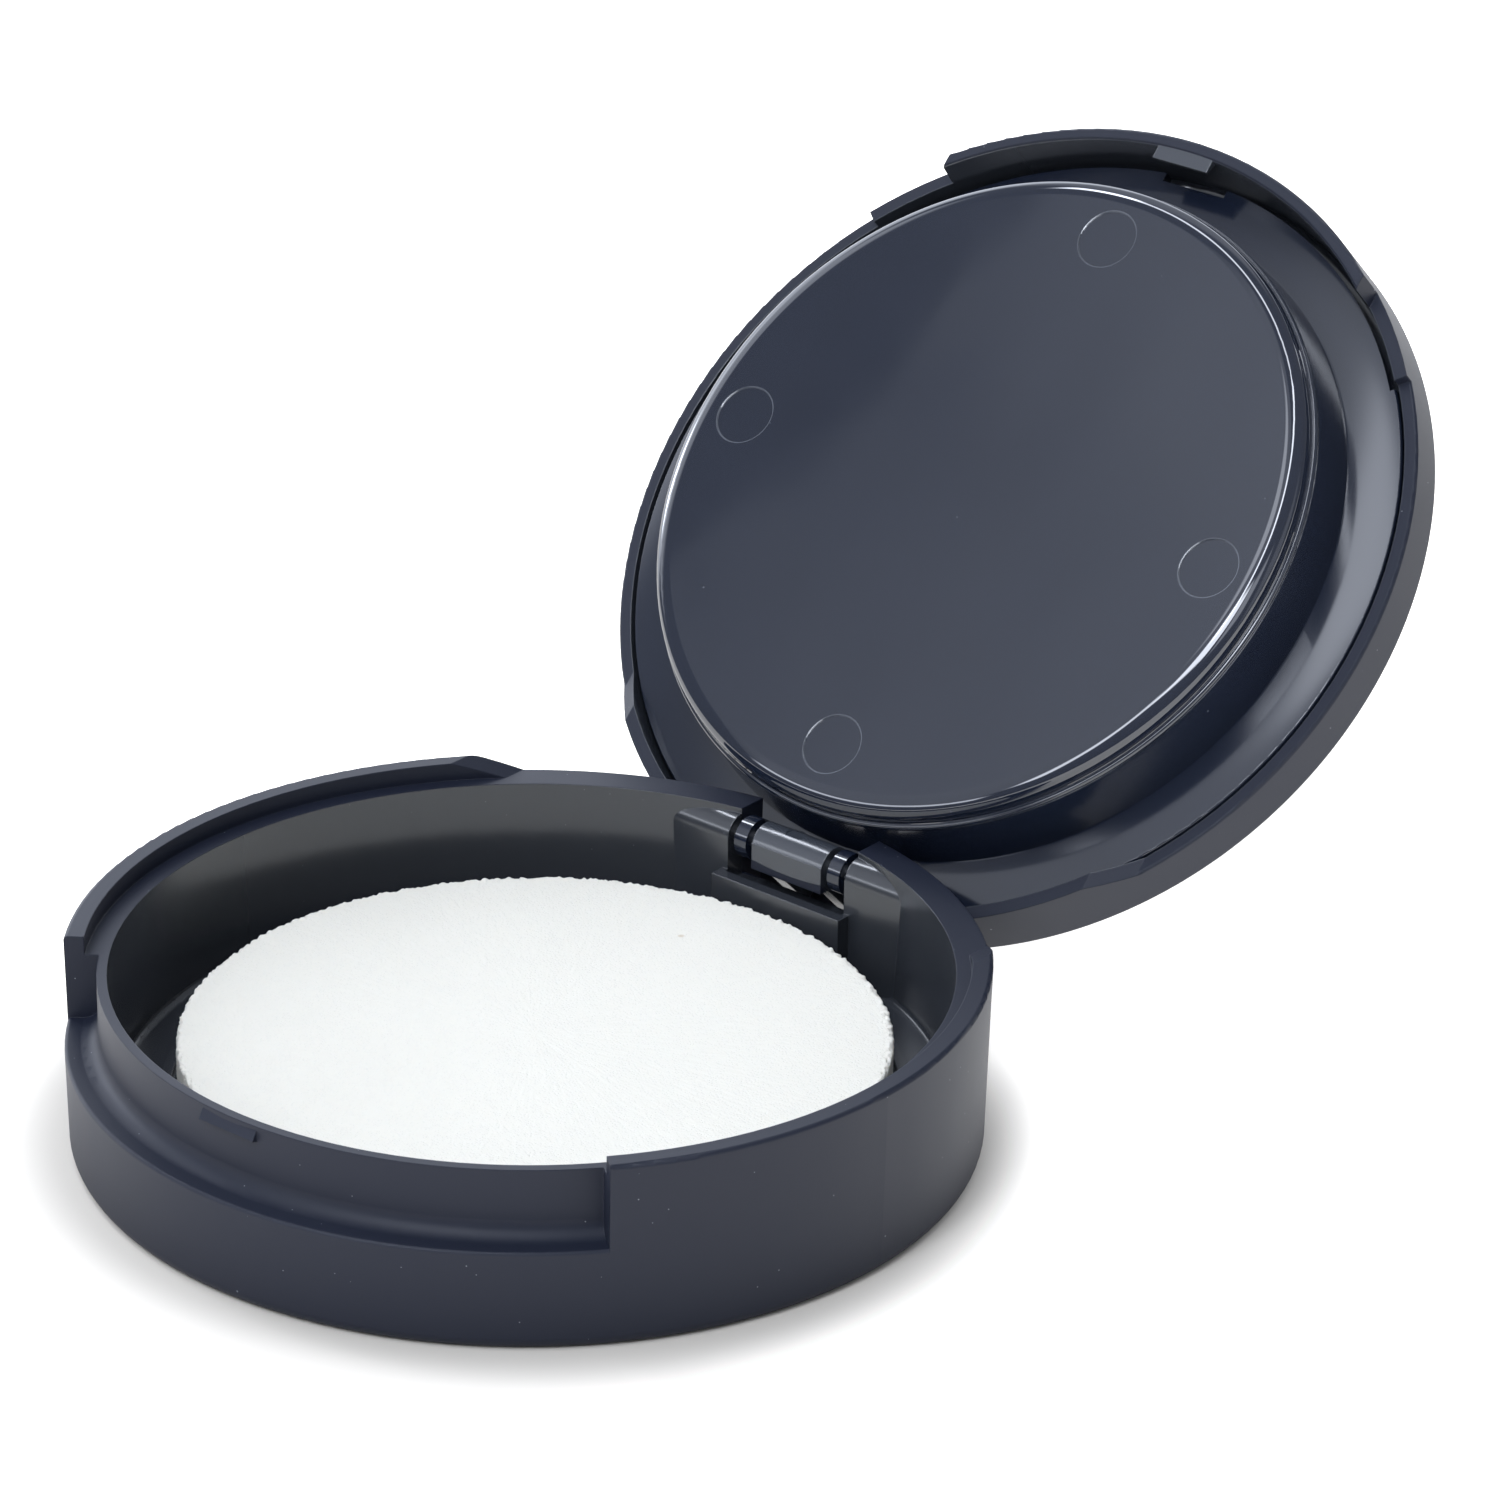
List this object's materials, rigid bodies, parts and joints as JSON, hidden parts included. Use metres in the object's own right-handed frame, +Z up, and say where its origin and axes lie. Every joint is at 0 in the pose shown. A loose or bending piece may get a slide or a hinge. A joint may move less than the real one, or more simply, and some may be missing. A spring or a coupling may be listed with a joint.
{
  "type": "powder compact",
  "caption": "Round powder compact with a sponge well in the base, a swing-up powder pan tray and a mirror lid on one hinge pin.",
  "frame": {"origin": "centre of the base's underside, on the surface it stands on", "axes": "+Z up, +Y from the latch towards the hinge, +X to the right when the hinge is at the back"},
  "size_m": [0.08, 0.137, 0.066],
  "materials": {
    "matte_shell": "matte, blue-black",
    "gloss_tray": "polished black",
    "sponge_foam": "fine-pored white foam",
    "pin_steel": "drawn wire",
    "pan_metal": "satin",
    "pressed_powder": "pressed powder",
    "mirror": "silvered",
    "adhesive": "double-sided adhesive disc"
  },
  "bodies": {
    "base": {"base_shell": "matte_shell", "sponge": "sponge_foam", "hinge_pin": "pin_steel"},
    "tray": {"tray": "gloss_tray", "pan_adhesive": "adhesive", "powder_pan": "pan_metal", "powder_cake": "pressed_powder"},
    "lid": {"lid_shell": "matte_shell", "mirror_glass": "mirror", "mirror_adhesive": "adhesive"}
  },
  "joints": [
    {"name": "tray_hinge", "type": "hinge", "parent": "base", "child": "tray", "pos_m": [0, 0.0365, 0.0128], "axis": [1, 0, 0], "range_deg": [0, 135.5]},
    {"name": "lid_hinge", "type": "hinge", "parent": "tray", "child": "lid", "pos_m": [0, 0.0365, 0.0128], "axis": [-1, 0, 0], "range_deg": [0, 5]}
  ]
}
